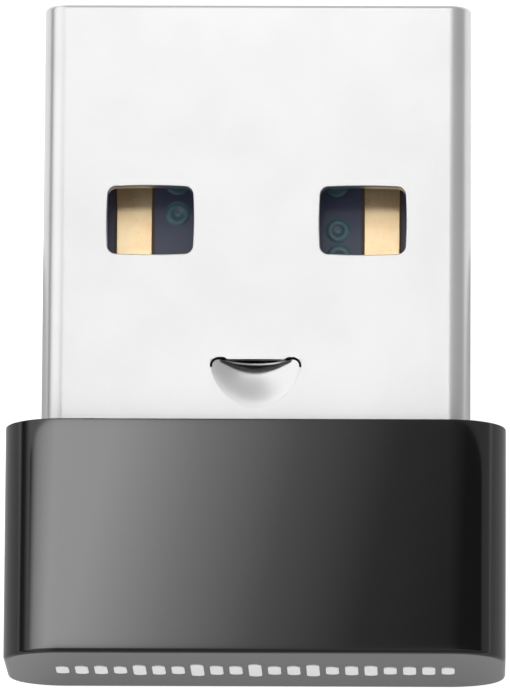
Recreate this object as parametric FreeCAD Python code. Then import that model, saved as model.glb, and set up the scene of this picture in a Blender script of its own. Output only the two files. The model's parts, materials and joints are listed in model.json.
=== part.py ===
"""Nano USB wireless adapter: a Type-A plug with its circuit board inside, closed by a moulded end cap.

Frame, in millimetres: +Y runs along the plug towards its tip, +X across its width and +Z through its
thickness, with the contacts facing +Z. The origin is on the plug's axis, in the plane of the cap's mouth,
which is where the cap stops against a socket. Each function builds one kind of piece, and main() writes one
STEP file per node.
"""

import math
import os

import FreeCAD
import Part

# ---- driving dimensions -------------------------------------------------------------------------------

# Type-A plug shell: a folded steel sheet
PLUG_WIDTH = 12.0
PLUG_HEIGHT = 4.5
PLUG_REACH = 12.0  # from the cap's mouth to the tip
SHEET = 0.3
PLUG_CORNER = 0.62  # outside bend radius of the shell
TIP_ROUND = 0.1  # coined edge at the mouth of the shell
SHELL_TAIL = 2.4  # how far the shell runs back inside the cap

# End cap
CAP_WIDTH = 14.0
CAP_HEIGHT = 6.1
CAP_DEPTH = 6.6
CAP_CORNER = 1.6
CAP_EDGE = 0.12  # small radius round the cap's two ends
CAP_END_WALL = 0.9
CAP_BORE_CORNER = 0.5

# Clearances
SLIP = 0.05  # between pieces that slide together
PRESS = 0.01  # between the cap and the shell that it grips

# Circuit board
BOARD_WIDTH = 11.3
BOARD_THICK = 0.8
BOARD_TOP = -0.05  # the contacts stand on this face, and end on the plug's mid-plane
BOARD_TIP = PLUG_REACH - 0.8
BOARD_TAIL = -5.35
BOARD_CORNER = 0.25
BOARD_BOTTOM = BOARD_TOP - BOARD_THICK

# Contacts, and the mask that is open round them
CONTACT_WIDTH = 1.0
CONTACT_CORNER = 0.12
CONTACT_X = {"power": -3.5, "data_minus": -1.0, "data_plus": 1.0, "ground": 3.5}
CONTACT_ROOT = 3.15
POWER_TIP = BOARD_TIP - 0.7
DATA_TIP = BOARD_TIP - 1.7
MASK_THICK = 0.03
MASK_INSET = 0.06
MASK_OPENING = 0.08  # bare laminate round each contact

# Plated holes
VIA_RING_R = 0.3
VIA_HOLE_R = 0.13
VIA_BARREL_R = 0.18
VIAS = [(-2.28, 6.45), (-2.28, 7.35), (2.26, 5.98), (2.2, 7.3), (2.28, 5.22), (-2.28, 4.4), (2.28, 4.4)]

# The four windows that a socket's springs drop into
WINDOW_WIDTH = 2.38
WINDOW_LENGTH = 1.9
WINDOW_X = 2.98
WINDOW_Y = PLUG_REACH - 6.2
WINDOW_CORNER = 0.22
WINDOW_ROLL = 0.08  # edge rounding that the punch leaves on the outside

# The locking scoop, sheared straight across and pressed in behind the shear line
SCOOP_EDGE = 1.84
SCOOP_HALF_WIDTH = 1.2
SCOOP_LENGTH = 1.53
SCOOP_DEPTH = 0.5
SCOOP_SHEET = 0.25  # the pressed skin is a little thinner than the sheet
SCOOP_GAP = 0.26  # how far the pressed lip draws back from the shear line
SCOOP_GAP_HALF = 1.0

# The closing seam under the shell, and its dovetail keys
SEAM = 0.05
SEAM_KEYS = (2.6, 8.4)
KEY_NECK = 1.1
KEY_HEAD = 1.7
KEY_REACH = 1.0

# Barbs on the shell's tail
BARB_Y = (-1.9, -0.9)
BARB_HEIGHT = 1.6
BARB_PROUD = 0.16

# Moulded inserts inside the shell
SPACER_FRONT = 2.95
SPACER_BACK = -1.5
CARRIER_TIP = PLUG_REACH - 0.3
CARRIER_BACK = -2.3
CARRIER_FLOOR = 0.22
CARRIER_RAIL = 0.75
CARRIER_NOSE = 1.2
CARRIER_POCKET_CORNER = 0.3
CARRIER_LEAD_IN = 0.15

# Printed antenna on the board's tail
ANTENNA_FRONT = -2.7
ANTENNA_BACK = -5.1
ANTENNA_HALF = 5.0
ANTENNA_LINE = 0.3
ANTENNA_TURNS = 6

# Parts on the underside of the board: places are x, y
LEAD_THICK = 0.05
CHIP_AT = (-0.4, 5.6)
CHIP_SIZE = 4.0
CHIP_HEIGHT = 0.68
CHIP_LEADS = 6  # on each side
CHIP_LEAD = (0.25, 0.42)
CHIP_PAD = 2.6
CHIP_CORNER_MARK = 0.3
CRYSTAL_AT = (3.55, 6.9)
CRYSTAL_SIZE = (2.0, 2.5)
CRYSTAL_BASE_THICK = 0.35
CRYSTAL_LID_THICK = 0.2
CRYSTAL_LID_INSET = 0.1
REGULATOR_AT = (-3.7, 1.2)
REGULATOR_SIZE = 2.0
ESD_AT = (0.0, 9.2)
BEAD_AT = [(-3.75, 9.3)]
CAPACITORS_AT = [(-3.9, y) for y in (3.6, 4.6, 5.6, 6.6, 7.6)] + [(2.25, y) for y in (3.0, 8.9)]
RESISTORS_AT = [(2.0, 10.0), (-1.6, 10.0), (3.9, 3.3), (3.9, 4.3)]
INDUCTORS_AT = [(-0.4, 1.9), (-0.4, 0.8)]

# Solder that ties the shell to the board
SOLDER_FRONT = SPACER_BACK - 0.1
SOLDER_BACK = -SHELL_TAIL + 0.15
SOLDER_FOOT = 0.6
SOLDER_RISE = 0.55

# Printed mark on the end wall: a plain row of round-ended bars of uneven height
MARK_THICK = 0.02
MARK_BARS = 21
MARK_PITCH = 0.54
MARK_BAR = 0.36
MARK_LOW = 1.1
MARK_HIGH = 2.0
MARK_BEAT = 2.2  # radians of ripple from one bar to the next

# ---- worked-out values --------------------------------------------------------------------------------

HALF_HEIGHT = PLUG_HEIGHT / 2
INNER_X = PLUG_WIDTH / 2 - SHEET
INNER_Z = HALF_HEIGHT - SHEET
INNER_CORNER = PLUG_CORNER - SHEET
MASK_TOP = BOARD_TOP + MASK_THICK
SAME = 1e-6  # two coordinates closer than this are the same


# ---- small shape helpers ------------------------------------------------------------------------------


def block(x0, x1, y0, y1, z0, z1):
    """A box between two corners."""
    return Part.makeBox(x1 - x0, y1 - y0, z1 - z0, FreeCAD.Vector(x0, y0, z0))


def edges_along(shape, axis):
    """The straight edges of a shape that run along an axis, which is "x", "y" or "z"."""
    return [e for e in shape.Edges if abs(getattr(e.tangentAt(e.FirstParameter), axis)) > 1 - SAME]


def edges_across(shape, y):
    """The edges of a shape that lie in one plane across Y."""
    return [e for e in shape.Edges if max(abs(e.BoundBox.YMin - y), abs(e.BoundBox.YMax - y)) < SAME]


def round_bar(width, height, radius, y0, y1):
    """A bar along Y whose section is a rounded rectangle centred on the plug's axis."""
    bar = block(-width / 2, width / 2, y0, y1, -height / 2, height / 2)
    return bar.makeFillet(radius, edges_along(bar, "y"))


def plan_plate(x, y, width, length, corner, z0, z1):
    """A plate with rounded corners in plan, centred on x, y."""
    plate = block(x - width / 2, x + width / 2, y - length / 2, y + length / 2, z0, z1)
    return plate.makeFillet(corner, edges_along(plate, "z"))


def post(x, y, radius, z0, z1):
    """An upright cylinder."""
    return Part.makeCylinder(radius, z1 - z0, FreeCAD.Vector(x, y, z0))


def prism(points, along):
    """The closed outline through 3-D points, pushed out along a vector."""
    outline = [FreeCAD.Vector(*point) for point in points]
    return Part.Face(Part.makePolygon(outline + outline[:1])).extrude(FreeCAD.Vector(*along))


def group(shapes):
    """Separate solids kept together as one compound."""
    return Part.makeCompound([solid for shape in shapes for solid in shape.Solids])


# ---- the shell ----------------------------------------------------------------------------------------


def pressed_ball(extra):
    """The ball, stretched along Y, that the scoop is a piece of; extra makes it larger all round."""
    rise = (SCOOP_HALF_WIDTH**2 - SCOOP_DEPTH**2) / (2 * SCOOP_DEPTH)
    ball = Part.makeSphere(math.hypot(rise, SCOOP_HALF_WIDTH) + extra)
    stretch = FreeCAD.Matrix()
    stretch.scale(1.0, SCOOP_LENGTH / SCOOP_HALF_WIDTH, 1.0)
    ball = ball.transformGeometry(stretch)
    ball.translate(FreeCAD.Vector(0, SCOOP_EDGE, HALF_HEIGHT + rise))
    return ball


def scoop_slit():
    """The crescent between the shear line and the lip that was pressed in."""
    left = FreeCAD.Vector(-SCOOP_GAP_HALF, SCOOP_EDGE, 0)
    right = FreeCAD.Vector(SCOOP_GAP_HALF, SCOOP_EDGE, 0)
    lip = Part.Arc(left, FreeCAD.Vector(0, SCOOP_EDGE - SCOOP_GAP, 0), right).toShape()
    face = Part.Face(Part.Wire([lip, Part.makeLine(right, left)]))
    face.translate(FreeCAD.Vector(0, 0, HALF_HEIGHT - 2 * SCOOP_DEPTH))
    return face.extrude(FreeCAD.Vector(0, 0, 3 * SCOOP_DEPTH))


def with_scoop(shell):
    """The shell with its locking scoop pressed in and sheared free."""
    below_skin = block(-PLUG_WIDTH, PLUG_WIDTH, -SHELL_TAIL, SCOOP_EDGE, 0, HALF_HEIGHT)
    up_to_shear = block(-PLUG_WIDTH, PLUG_WIDTH, -SHELL_TAIL, SCOOP_EDGE, 0, PLUG_HEIGHT)
    shell = shell.fuse(pressed_ball(SCOOP_SHEET).common(below_skin))
    return shell.cut(pressed_ball(0).common(up_to_shear)).cut(scoop_slit())


def with_windows(shell):
    """The shell with its four punched windows, rounded on the outside by the punch."""
    for x in (-WINDOW_X, WINDOW_X):
        punch = plan_plate(
            x, WINDOW_Y, WINDOW_WIDTH, WINDOW_LENGTH, WINDOW_CORNER, -PLUG_HEIGHT, PLUG_HEIGHT
        )
        shell = shell.cut(punch)
    outer_rims = [
        e for e in shell.Edges
        if abs(abs(e.BoundBox.ZMin) - HALF_HEIGHT) < SAME
        and e.BoundBox.ZLength < SAME
        and abs(e.CenterOfMass.y - WINDOW_Y) < WINDOW_LENGTH
        and abs(abs(e.CenterOfMass.x) - WINDOW_X) < WINDOW_WIDTH / 2 + SAME
    ]
    return shell.makeFillet(WINDOW_ROLL, outer_rims)


def seam_cutter():
    """The closing seam under the shell: a narrow slit that runs round a dovetail key at each key's place."""
    path = [(0, -SHELL_TAIL - 1)]
    for y in SEAM_KEYS:
        path.append((0, y - KEY_NECK / 2))
        path.append((KEY_REACH, y - KEY_HEAD / 2))
        path.append((KEY_REACH, y + KEY_HEAD / 2))
        path.append((0, y + KEY_NECK / 2))
    path.append((0, PLUG_REACH + 1))
    bottom, top = -HALF_HEIGHT - SHEET, -INNER_Z + SHEET
    pieces = []
    for (x0, y0), (x1, y1) in zip(path, path[1:]):
        run = block(0, math.hypot(x1 - x0, y1 - y0), -SEAM / 2, SEAM / 2, bottom, top)
        turn = math.degrees(math.atan2(y1 - y0, x1 - x0))
        run.rotate(FreeCAD.Vector(0, 0, 0), FreeCAD.Vector(0, 0, 1), turn)
        run.translate(FreeCAD.Vector(x0, y0, 0))
        pieces += [run, post(x1, y1, SEAM / 2, bottom, top)]
    return pieces[0].fuse(pieces[1:])


def barb(side):
    """A lanced barb on a side wall of the shell's tail, which bites into the cap."""
    y0, y1 = BARB_Y
    z = -BARB_HEIGHT / 2
    root = side * (PLUG_WIDTH - SHEET) / 2
    face = side * PLUG_WIDTH / 2
    tooth = face + side * BARB_PROUD
    return prism([(root, y0, z), (root, y1, z), (tooth, y1, z), (face, y0, z)], (0, 0, BARB_HEIGHT))


def plug_shell():
    """The folded steel shell, with its windows, locking scoop, barbs and keyed seam."""
    outside = round_bar(PLUG_WIDTH, PLUG_HEIGHT, PLUG_CORNER, -SHELL_TAIL, PLUG_REACH)
    outside = outside.makeFillet(TIP_ROUND, edges_across(outside, PLUG_REACH))
    inside = round_bar(2 * INNER_X, 2 * INNER_Z, INNER_CORNER, -SHELL_TAIL - 1, PLUG_REACH + 1)
    shell = with_scoop(with_windows(outside.cut(inside)))
    return shell.fuse([barb(-1), barb(1)]).cut(seam_cutter())


# ---- the cap and the moulded inserts ------------------------------------------------------------------


def housing_cap():
    """The moulded cap: a closed cup whose mouth grips the shell's tail and has a step behind it."""
    outside = round_bar(CAP_WIDTH, CAP_HEIGHT, CAP_CORNER, -CAP_DEPTH, 0)
    outside = outside.makeFillet(CAP_EDGE, edges_across(outside, 0) + edges_across(outside, -CAP_DEPTH))
    seat = round_bar(
        PLUG_WIDTH + 2 * PRESS, PLUG_HEIGHT + 2 * PRESS, PLUG_CORNER + PRESS, -SHELL_TAIL - SLIP, 1
    )
    room = round_bar(
        2 * (INNER_X + SLIP), 2 * (INNER_Z + SLIP), CAP_BORE_CORNER, -CAP_DEPTH + CAP_END_WALL, 0
    )
    barb_slot = block(
        -PLUG_WIDTH / 2 - BARB_PROUD - SLIP,
        PLUG_WIDTH / 2 + BARB_PROUD + SLIP,
        BARB_Y[0] - SLIP,
        BARB_Y[1] + SLIP,
        -BARB_HEIGHT / 2 - SLIP,
        BARB_HEIGHT / 2 + SLIP,
    )
    return outside.cut([seat, room, barb_slot])


def rear_spacer():
    """The block that fills the shell above the board behind the contacts, and holds the board down."""
    top = INNER_Z - SLIP
    half = INNER_X - SLIP
    spacer = block(-half, half, SPACER_BACK, SPACER_FRONT, MASK_TOP, top)
    upper = [e for e in edges_along(spacer, "y") if e.BoundBox.ZMax > top - SAME]
    spacer = spacer.makeFillet(INNER_CORNER, upper)
    scoop_room = block(-PLUG_WIDTH, PLUG_WIDTH, -CAP_DEPTH, SCOOP_EDGE + SLIP, 0, PLUG_HEIGHT)
    return spacer.cut(pressed_ball(SHEET + SLIP).common(scoop_room))


def board_carrier():
    """The tray under the board: a floor, two rails, and a nose that the board's tip stops against."""
    half = INNER_X - SLIP
    floor = -INNER_Z + SLIP
    tray = block(-half, half, CARRIER_BACK, CARRIER_TIP, floor, BOARD_BOTTOM)
    lower = [e for e in edges_along(tray, "y") if e.BoundBox.ZMin < floor + SAME]
    tray = tray.makeFillet(INNER_CORNER, lower)
    pocket_back, pocket_front = CARRIER_BACK - 1, CARRIER_TIP - CARRIER_NOSE
    pocket = plan_plate(
        0,
        (pocket_back + pocket_front) / 2,
        2 * (half - CARRIER_RAIL),
        pocket_front - pocket_back,
        CARRIER_POCKET_CORNER,
        floor + CARRIER_FLOOR,
        HALF_HEIGHT,
    )
    nose_top = BOARD_TOP - 2 * SLIP
    nose = block(-half, half, BOARD_TIP + SLIP, CARRIER_TIP, BOARD_BOTTOM, nose_top)
    lead_in = [e for e in edges_across(nose, CARRIER_TIP) if e.BoundBox.ZMin > nose_top - SAME]
    return tray.cut(pocket).fuse(nose.makeChamfer(CARRIER_LEAD_IN, lead_in)).removeSplitter()


# ---- the top of the board -----------------------------------------------------------------------------


def contact_plate(name, grow, z0, z1):
    """A plate over one contact, larger than it by grow all round; the two supply contacts reach further."""
    tip = POWER_TIP if name in ("power", "ground") else DATA_TIP
    return plan_plate(
        CONTACT_X[name],
        (CONTACT_ROOT + tip) / 2,
        CONTACT_WIDTH + 2 * grow,
        tip - CONTACT_ROOT + 2 * grow,
        CONTACT_CORNER,
        z0,
        z1,
    )


def circuit_board():
    """The bare laminate, drilled for its plated holes."""
    middle = (BOARD_TIP + BOARD_TAIL) / 2
    board = plan_plate(
        0, middle, BOARD_WIDTH, BOARD_TIP - BOARD_TAIL, BOARD_CORNER, BOARD_BOTTOM, BOARD_TOP
    )
    return board.cut([post(x, y, VIA_BARREL_R, -PLUG_HEIGHT, PLUG_HEIGHT) for x, y in VIAS])


def plated_vias():
    """Copper barrels through the board, each with a ring on the top face."""
    vias = []
    for x, y in VIAS:
        barrel = post(x, y, VIA_BARREL_R, BOARD_BOTTOM, MASK_TOP)
        ring = post(x, y, VIA_RING_R, BOARD_TOP, MASK_TOP)
        vias.append(barrel.fuse(ring).cut(post(x, y, VIA_HOLE_R, -PLUG_HEIGHT, PLUG_HEIGHT)))
    return group(vias)


def solder_mask():
    """The coat on the top face, open round each contact, plated hole and solder joint."""
    half = BOARD_WIDTH / 2 - MASK_INSET
    mask = block(-half, half, ANTENNA_FRONT + SLIP, BOARD_TIP - MASK_INSET, BOARD_TOP, MASK_TOP)
    openings = [contact_plate(name, MASK_OPENING, -PLUG_HEIGHT, PLUG_HEIGHT) for name in CONTACT_X]
    openings += [post(x, y, VIA_RING_R + PRESS, -PLUG_HEIGHT, PLUG_HEIGHT) for x, y in VIAS]
    for side in (-1, 1):
        x0, x1 = sorted((side * PLUG_WIDTH, side * (INNER_X - SOLDER_FOOT - SLIP)))
        openings.append(
            block(x0, x1, SOLDER_BACK - SLIP, SOLDER_FRONT + SLIP, -PLUG_HEIGHT, PLUG_HEIGHT)
        )
    return mask.cut(openings)


def antenna_trace():
    """The printed antenna on the board's tail: one copper line that goes up and down across it."""
    pitch = ANTENNA_HALF / ANTENNA_TURNS
    half = ANTENNA_LINE / 2
    front, back = ANTENNA_FRONT - half, ANTENNA_BACK + half
    runs = []
    for i in range(2 * ANTENNA_TURNS + 1):
        x = -ANTENNA_HALF + i * pitch
        runs.append(block(x - half, x + half, back - half, front + half, BOARD_TOP, MASK_TOP))
    for i in range(2 * ANTENNA_TURNS):
        x = -ANTENNA_HALF + i * pitch
        y = back if i % 2 else front
        runs.append(block(x - half, x + pitch + half, y - half, y + half, BOARD_TOP, MASK_TOP))
    return runs[0].fuse(runs[1:]).removeSplitter()


def shell_solder_joints():
    """Solder fillets that tie the board's edges to the shell for ground."""
    joints = []
    for side in (-1, 1):
        wall, foot = side * (INNER_X - PRESS / 2), side * (INNER_X - SOLDER_FOOT)
        outline = [(wall, BOARD_TOP), (foot, BOARD_TOP), (wall, BOARD_TOP + SOLDER_RISE)]
        points = [(x, SOLDER_BACK, z) for x, z in outline]
        joints.append(prism(points, (0, SOLDER_FRONT - SOLDER_BACK, 0)))
    return group(joints)


# ---- the underside of the board -----------------------------------------------------------------------


def under_board(at, size, drop, height):
    """A block hung under the board at x, y: its top is drop below the board, and it is height thick."""
    (x, y), (width, length) = at, size
    top = BOARD_BOTTOM - drop
    return block(x - width / 2, x + width / 2, y - length / 2, y + length / 2, top - height, top)


def radio_chip():
    """The radio chip's moulded body, with a chamfer that marks its first corner."""
    body = under_board(CHIP_AT, (CHIP_SIZE, CHIP_SIZE), LEAD_THICK, CHIP_HEIGHT)
    x, y = CHIP_AT
    first = [e for e in edges_along(body, "z") if e.BoundBox.XMax < x and e.BoundBox.YMin > y]
    return body.makeChamfer(CHIP_CORNER_MARK, first)


def radio_chip_leads():
    """The chip's flat leads, and the square pad that carries its heat into the board."""
    x, y = CHIP_AT
    across, reach = CHIP_LEAD
    pitch = CHIP_SIZE / (CHIP_LEADS + 1)
    edge = (CHIP_SIZE - reach) / 2
    leads = [under_board(CHIP_AT, (CHIP_PAD, CHIP_PAD), 0, LEAD_THICK)]
    for i in range(CHIP_LEADS):
        along = -CHIP_SIZE / 2 + pitch * (i + 1)
        for side in (-edge, edge):
            leads.append(under_board((x + along, y + side), (across, reach), 0, LEAD_THICK))
            leads.append(under_board((x + side, y + along), (reach, across), 0, LEAD_THICK))
    return group(leads)


def crystal_base():
    """The ceramic base of the crystal."""
    return under_board(CRYSTAL_AT, CRYSTAL_SIZE, 0, CRYSTAL_BASE_THICK)


def crystal_lid():
    """The metal lid welded on the crystal's base."""
    size = tuple(side - 2 * CRYSTAL_LID_INSET for side in CRYSTAL_SIZE)
    lid = under_board(CRYSTAL_AT, size, CRYSTAL_BASE_THICK, CRYSTAL_LID_THICK)
    return lid.makeFillet(2 * CRYSTAL_LID_INSET, edges_along(lid, "z"))


def voltage_regulator():
    """The regulator that makes the chip's supply."""
    return under_board(REGULATOR_AT, (REGULATOR_SIZE, REGULATOR_SIZE), LEAD_THICK, 0.55)


def regulator_leads():
    """Three flat leads on each of the regulator's two sides."""
    x, y = REGULATOR_AT
    leads = []
    for side in (-1, 1):
        for step in (-1, 0, 1):
            leads.append(under_board((x + side * 0.8, y + step * 0.65), (0.4, 0.3), 0, LEAD_THICK))
    return group(leads)


def esd_protector():
    """The surge clamp on the two data lines."""
    return under_board(ESD_AT, (1.6, 1.0), 0, 0.5)


def two_ended(places, length, width, height, end):
    """The bodies and the end terminals of two-ended parts that lie along X."""
    bodies, ends = [], []
    for x, y in places:
        bodies.append(under_board((x, y), (length - 2 * end, width), 0, height))
        for side in (-1, 1):
            ends.append(under_board((x + side * (length - end) / 2, y), (end, width), 0, height))
    return group(bodies), group(ends)


# ---- the printed mark ---------------------------------------------------------------------------------


def printed_mark():
    """The print on the end wall: upright bars with round ends, tallest in the middle, uneven in between."""
    bars = []
    for i in range(MARK_BARS):
        k = i - (MARK_BARS - 1) / 2
        swell = math.cos(k / MARK_BARS * math.pi) * (0.55 + 0.45 * math.cos(k * MARK_BEAT))
        stem = (MARK_LOW + (MARK_HIGH - MARK_LOW) * swell - MARK_BAR) / 2
        bar = block(-MARK_BAR / 2, MARK_BAR / 2, 0, MARK_THICK, -stem, stem)
        for z in (-stem, stem):
            end = FreeCAD.Vector(0, 0, z)
            bar = bar.fuse(Part.makeCylinder(MARK_BAR / 2, MARK_THICK, end, FreeCAD.Vector(0, 1, 0)))
        bar = bar.removeSplitter()
        bar.translate(FreeCAD.Vector(k * MARK_PITCH, -CAP_DEPTH - MARK_THICK, 0))
        bars.append(bar)
    return group(bars)


# ---- output -------------------------------------------------------------------------------------------


def all_nodes():
    """Every node's name and shape."""
    nodes = {
        "housing_cap": housing_cap(),
        "plug_shell": plug_shell(),
        "rear_spacer": rear_spacer(),
        "board_carrier": board_carrier(),
        "circuit_board": circuit_board(),
        "solder_mask": solder_mask(),
        "plated_vias": plated_vias(),
        "antenna_trace": antenna_trace(),
        "shell_solder_joints": shell_solder_joints(),
        "radio_chip": radio_chip(),
        "radio_chip_leads": radio_chip_leads(),
        "crystal_base": crystal_base(),
        "crystal_lid": crystal_lid(),
        "voltage_regulator": voltage_regulator(),
        "regulator_leads": regulator_leads(),
        "esd_protector": esd_protector(),
        "printed_mark": printed_mark(),
    }
    for name in CONTACT_X:
        nodes["contact_" + name] = contact_plate(name, 0, BOARD_TOP, 0)
    nodes["capacitor_bodies"], nodes["capacitor_terminals"] = two_ended(CAPACITORS_AT, 1.0, 0.5, 0.5, 0.25)
    nodes["resistor_bodies"], nodes["resistor_terminals"] = two_ended(RESISTORS_AT, 1.0, 0.5, 0.35, 0.2)
    nodes["inductor_bodies"], nodes["inductor_terminals"] = two_ended(INDUCTORS_AT, 1.2, 0.6, 0.55, 0.25)
    nodes["ferrite_bead"], nodes["bead_terminals"] = two_ended(BEAD_AT, 1.6, 0.8, 0.6, 0.3)
    return nodes


def main():
    """Writes parts/NODE.step for every node, and prints each node's solids and volume."""
    os.makedirs("parts", exist_ok=True)
    for name, shape in all_nodes().items():
        shape.exportStep(os.path.join("parts", name + ".step"))
        print(f"{name:22s} {len(shape.Solids):3d} solids  valid {shape.isValid()}  {shape.Volume:9.3f} mm3")


main()
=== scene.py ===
"""Looks of the nano USB wireless adapter: the folded plug shell, the glossy cap, the board and its finishes.

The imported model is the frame. The shell, the cap, the tray, the contacts and the tented holes are made again
here in finer form, and the other nodes keep their shape and get their finish. Lengths in the classes are
millimetres, as on a drawing, and a piece is brought to metres when its mesh is complete.
"""

import json
import logging
import math
from dataclasses import dataclass
from enum import Enum

import bmesh
import bpy
from mathutils import Matrix, Quaternion, Vector


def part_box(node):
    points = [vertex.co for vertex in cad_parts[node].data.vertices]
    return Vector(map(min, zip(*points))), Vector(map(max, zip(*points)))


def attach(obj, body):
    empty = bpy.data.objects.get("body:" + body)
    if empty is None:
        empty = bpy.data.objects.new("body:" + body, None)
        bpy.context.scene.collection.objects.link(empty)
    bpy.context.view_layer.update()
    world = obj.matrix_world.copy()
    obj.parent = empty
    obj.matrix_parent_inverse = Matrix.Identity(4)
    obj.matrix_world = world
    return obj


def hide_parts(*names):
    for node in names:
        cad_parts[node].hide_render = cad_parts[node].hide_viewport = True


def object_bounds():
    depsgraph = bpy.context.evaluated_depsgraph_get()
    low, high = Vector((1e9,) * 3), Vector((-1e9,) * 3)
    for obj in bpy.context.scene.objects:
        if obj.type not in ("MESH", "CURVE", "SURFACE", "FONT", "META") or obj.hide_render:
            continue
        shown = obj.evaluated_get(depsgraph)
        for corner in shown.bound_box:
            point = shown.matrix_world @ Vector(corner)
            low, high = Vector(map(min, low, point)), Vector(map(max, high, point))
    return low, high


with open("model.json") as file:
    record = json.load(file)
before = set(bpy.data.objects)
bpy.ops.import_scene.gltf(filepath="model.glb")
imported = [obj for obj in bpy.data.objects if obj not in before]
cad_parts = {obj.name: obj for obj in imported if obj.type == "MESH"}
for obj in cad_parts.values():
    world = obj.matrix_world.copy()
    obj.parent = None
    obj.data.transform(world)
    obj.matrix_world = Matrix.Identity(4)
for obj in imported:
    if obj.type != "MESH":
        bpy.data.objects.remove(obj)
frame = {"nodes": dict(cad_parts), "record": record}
CAD_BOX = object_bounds()

MM = 0.001
# In millimetres: points this close to a plane lie in it, and points this close together are joined.
SAME_PLACE = 1e-4
WELD = 1e-5
# The least angle that stays a sharp edge.
CREASE = math.radians(32)
# A swollen side: how many cuts it gets, and how fast the swelling fades towards the next side.
SWELL_CUTS = 10
SWELL_FADE = 4
ROOT = "root"
log = logging.getLogger("adapter")


# ---- working in millimetres ---------------------------------------------------------------------------


class Side(Enum):
    """The two sides of the plug, as the sign of x."""

    LEFT = -1
    RIGHT = 1


class Cut(Enum):
    """What a tool body does to a piece."""

    REMOVE = "DIFFERENCE"
    ADD = "UNION"


def corners_mm(node: str) -> tuple[Vector, Vector]:
    """Lowest and highest corner of a CAD node.

    Args:
        node: the node's name.

    Returns:
        The two corners, in millimetres.
    """
    low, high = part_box(node)
    return low / MM, high / MM


def verts_of(made: dict) -> list[bmesh.types.BMVert]:
    """Picks the vertices out of the parts that an operator has made."""
    return [part for part in made["geom"] if isinstance(part, bmesh.types.BMVert)]


def push(mesh: bmesh.types.BMesh, run: tuple[float, float, float]) -> None:
    """Pushes a flat sheet out into a solid.

    Args:
        mesh: the sheet.
        run: how far it goes along x, y and z.
    """
    pushed = bmesh.ops.extrude_face_region(mesh, geom=mesh.faces[:])
    bmesh.ops.translate(mesh, vec=run, verts=verts_of(pushed))


def thread(
    mesh: bmesh.types.BMesh, points: list[tuple[float, float, float]]
) -> tuple[list[bmesh.types.BMVert], list[bmesh.types.BMEdge]]:
    """Adds a row of points, each joined to the one before it.

    Args:
        mesh: the mesh to add it to.
        points: the points, in order.

    Returns:
        The points and the edges between them.
    """
    verts = list(bmesh.ops.create_vert(mesh, co=points[0])["vert"])
    edges = []
    for point in points[1:]:
        grown = bmesh.ops.extrude_vert_indiv(mesh, verts=[verts[-1]])
        verts.append(grown["verts"][0])
        verts[-1].co = Vector(point)
        edges.append(grown["edges"][0])
    return verts, edges


@dataclass(frozen=True)
class Section:
    """A rounded rectangle that stands across the plug's axis."""

    width: float
    height: float
    corner: float
    y: float

    def draw(self, mesh: bmesh.types.BMesh, steps: int, closed: bool = False) -> list[bmesh.types.BMEdge]:
        """Adds the section's outline.

        Args:
            mesh: the mesh to add it to.
            steps: how many straight steps round each corner.
            closed: whether the outline keeps its face.

        Returns:
            The outline's edges.
        """
        before = set(mesh.faces)
        verts = bmesh.ops.create_grid(mesh, x_segments=1, y_segments=1, size=0.5)["verts"]
        bmesh.ops.scale(mesh, vec=(self.width, self.height, 1.0), verts=verts)
        bmesh.ops.rotate(mesh, cent=(0, 0, 0), matrix=Matrix.Rotation(math.radians(90), 3, "X"), verts=verts)
        bmesh.ops.translate(mesh, vec=(0, self.y, 0), verts=verts)
        bmesh.ops.bevel(
            mesh, geom=verts, offset=self.corner, offset_type="OFFSET", segments=steps, profile=0.5,
            affect="VERTICES", material=-1,
        )
        face = (set(mesh.faces) - before).pop()
        edges = list(face.edges)
        if not closed:
            bmesh.ops.delete(mesh, geom=[face], context="FACES_ONLY")
        return edges

    def carry(self, other: "Section", point: Vector) -> Vector:
        """Finds where a point of this outline lies on another section's outline.

        Args:
            other: the other section.
            point: the point on this section's outline.

        Returns:
            The matching point.
        """
        across, up = math.copysign(1, point.x), math.copysign(1, point.z)
        lean_x = (point.x - across * (self.width / 2 - self.corner)) / self.corner
        lean_z = (point.z - up * (self.height / 2 - self.corner)) / self.corner
        x = across * (other.width / 2 - other.corner) + lean_x * other.corner
        z = up * (other.height / 2 - other.corner) + lean_z * other.corner
        return Vector((x, other.y, z))


def sweep(
    mesh: bmesh.types.BMesh, sections: list[Section], steps: int, capped: bool = False
) -> list[list[bmesh.types.BMEdge]]:
    """Draws a skin through a row of sections.

    Args:
        mesh: the mesh to add it to.
        sections: the sections, in order.
        steps: straight steps round each corner.
        capped: whether the first and the last section are closed.

    Returns:
        The outline of each section, as its edges.
    """
    rings = [sections[0].draw(mesh, steps, closed=capped)]
    for start, end in zip(sections, sections[1:]):
        grown = bmesh.ops.extrude_edge_only(mesh, edges=rings[-1])
        verts = set(verts_of(grown))
        for vert in verts:
            vert.co = start.carry(end, vert.co)
        edges = [part for part in grown["geom"] if isinstance(part, bmesh.types.BMEdge)]
        rings.append([edge for edge in edges if set(edge.verts) <= verts])
    if capped:
        bmesh.ops.contextual_create(mesh, geom=rings[-1])
    return rings


def soften(mesh: bmesh.types.BMesh, edges: list[bmesh.types.BMEdge], radius: float, steps: int) -> None:
    """Rounds edges over.

    Args:
        mesh: the mesh that they belong to.
        edges: the edges.
        radius: the radius of the rounding.
        steps: how many straight steps make it.
    """
    bmesh.ops.bevel(
        mesh, geom=edges, offset=radius, offset_type="OFFSET", segments=steps, profile=0.5,
        affect="EDGES", material=-1, clamp_overlap=True,
    )


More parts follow.
